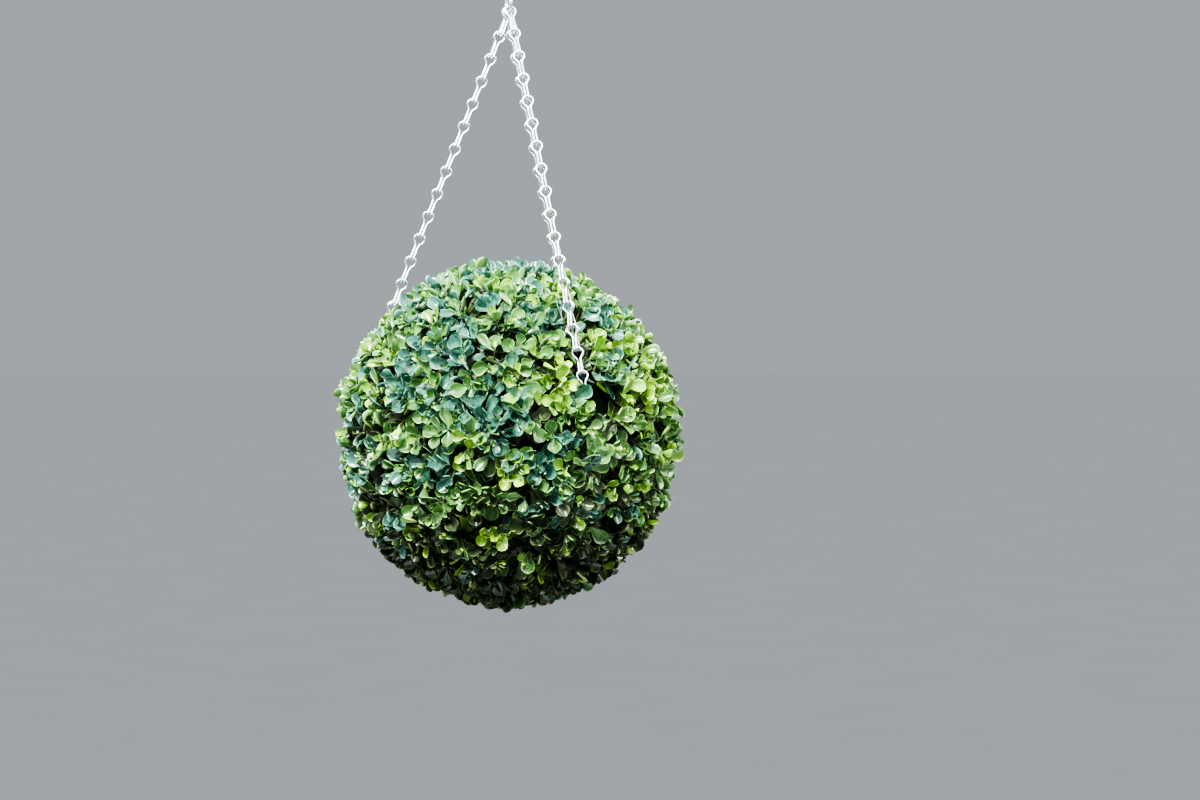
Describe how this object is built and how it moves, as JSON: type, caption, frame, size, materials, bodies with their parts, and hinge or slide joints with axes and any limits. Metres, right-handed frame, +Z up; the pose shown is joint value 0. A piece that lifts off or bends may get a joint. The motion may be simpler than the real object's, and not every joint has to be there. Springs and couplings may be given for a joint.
{
  "type": "artificial hanging box topiary ball",
  "caption": "Artificial box topiary ball of glossy leaves in half shells that meet at a level seam, hung by folded-loop link chains from a wire hook.",
  "frame": {"origin": "seat under the top bend of the hook, where it lies on the rod that holds it", "axes": "+Z up along the hook and the line to the ball's centre, +X to the right and -Y towards the camera of the picture"},
  "size_m": [0.2916, 0.2928, 0.5591],
  "materials": {
    "galvanised_wire": "bright zinc",
    "box_foliage": "glossy leaves with a waxy sheen"
  },
  "bodies": {
    "hook": {"hook": "galvanised_wire"},
    "hanging_ball": {"chain_left_link_01": "galvanised_wire", "chain_left_link_02": "galvanised_wire", "chain_left_link_03": "galvanised_wire", "chain_left_link_04": "galvanised_wire", "chain_left_link_05": "galvanised_wire", "chain_left_link_06": "galvanised_wire", "chain_left_link_07": "galvanised_wire", "chain_left_link_08": "galvanised_wire", "chain_left_link_09": "galvanised_wire", "chain_left_link_10": "galvanised_wire", "chain_left_link_11": "galvanised_wire", "chain_left_link_12": "galvanised_wire", "chain_left_link_13": "galvanised_wire", "chain_left_link_14": "galvanised_wire", "chain_left_link_15": "galvanised_wire", "chain_left_link_16": "galvanised_wire", "chain_left_link_17": "galvanised_wire", "chain_front_link_01": "galvanised_wire", "chain_front_link_02": "galvanised_wire", "chain_front_link_03": "galvanised_wire", "chain_front_link_04": "galvanised_wire", "chain_front_link_05": "galvanised_wire", "chain_front_link_06": "galvanised_wire", "chain_front_link_07": "galvanised_wire", "chain_front_link_08": "galvanised_wire", "chain_front_link_09": "galvanised_wire", "chain_front_link_10": "galvanised_wire", "chain_front_link_11": "galvanised_wire", "chain_front_link_12": "galvanised_wire", "chain_front_link_13": "galvanised_wire", "chain_front_link_14": "galvanised_wire", "chain_front_link_15": "galvanised_wire", "chain_front_link_16": "galvanised_wire", "chain_front_link_17": "galvanised_wire", "chain_back_link_01": "galvanised_wire", "chain_back_link_02": "galvanised_wire", "chain_back_link_03": "galvanised_wire", "chain_back_link_04": "galvanised_wire", "chain_back_link_05": "galvanised_wire", "chain_back_link_06": "galvanised_wire", "chain_back_link_07": "galvanised_wire", "chain_back_link_08": "galvanised_wire", "chain_back_link_09": "galvanised_wire", "chain_back_link_10": "galvanised_wire", "chain_back_link_11": "galvanised_wire", "chain_back_link_12": "galvanised_wire", "chain_back_link_13": "galvanised_wire", "chain_back_link_14": "galvanised_wire", "chain_back_link_15": "galvanised_wire", "chain_back_link_16": "galvanised_wire", "chain_back_link_17": "galvanised_wire", "upper_foliage": "box_foliage", "lower_foliage": "box_foliage"}
  },
  "joints": [
    {"name": "swing", "type": "hinge", "parent": "hook", "child": "hanging_ball", "pos_m": [0, 0, -0.047], "axis": [-0.2079, 0.9781, 0], "range_deg": [-30, 30]}
  ]
}
